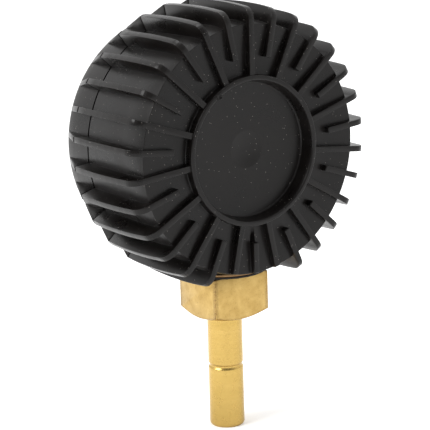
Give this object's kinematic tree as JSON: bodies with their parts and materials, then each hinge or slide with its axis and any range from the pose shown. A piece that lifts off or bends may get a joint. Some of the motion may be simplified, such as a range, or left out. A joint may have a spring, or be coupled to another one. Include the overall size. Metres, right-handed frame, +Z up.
{
  "type": "diaphragm water hammer arrester",
  "caption": "Finned plastic pressure vessel with a rubber diaphragm, a brass push-in spigot and a gas charging valve, for damping shocks in water pipes.",
  "frame": {"origin": "centre of the spigot's open end", "axes": "+Z up along the spigot, +Y from the drum's front ring to its valve at the back, +X to the right as the front is looked at"},
  "size_m": [0.1176, 0.068, 0.182],
  "materials": {
    "black_nylon": "satin moulded, glass-filled nylon",
    "brass": "turned, dull in patches",
    "black_rubber": "moulded rubber",
    "nickel": "nickel plate",
    "steel": "plain stainless",
    "white_plastic": "natural acetal",
    "cap_plastic": "moulded"
  },
  "bodies": {
    "vessel": {"front_shell": "black_nylon", "rear_shell": "black_nylon", "diaphragm": "black_rubber", "port_insert": "brass", "port_oring": "black_rubber", "flange_gasket": "black_rubber", "spigot_adaptor": "brass", "adaptor_washer": "black_rubber", "valve_body": "nickel", "valve_oring": "black_rubber", "valve_washer": "steel", "valve_nut": "nickel", "core_barrel": "brass", "core_gasket": "white_plastic", "core_spring": "steel"},
    "plate": {"diaphragm_plate": "white_plastic"},
    "core": {"core_pin": "steel", "core_seal": "black_rubber"},
    "cap_insert": {"cap_seal": "black_rubber"},
    "cap": {"valve_cap": "cap_plastic"}
  },
  "joints": [
    {"name": "diaphragm_flex", "type": "slide", "parent": "vessel", "child": "plate", "axis": [0, 1, 0], "range_m": [0, 0.014], "stiffness_N_per_m": 2000, "deforming": ["diaphragm"]},
    {"name": "core_press", "type": "slide", "parent": "vessel", "child": "core", "axis": [0, -1, 0], "range_m": [0, 0.0012], "stiffness_N_per_m": 600, "springref_m": -0.002, "deforming": ["core_spring"]},
    {"name": "cap_lift", "type": "slide", "parent": "vessel", "child": "cap_insert", "axis": [0, 1, 0], "range_m": [0, 0.00635]},
    {"name": "cap_turn", "type": "hinge", "parent": "cap_insert", "child": "cap", "pos_m": [0, 0.037, 0.123], "axis": [0, 1, 0], "range_deg": [0, 2880]}
  ],
  "couplings": [
    {"joint": "cap_turn", "follows": "cap_lift", "rad_per_m": 7915.8}
  ]
}
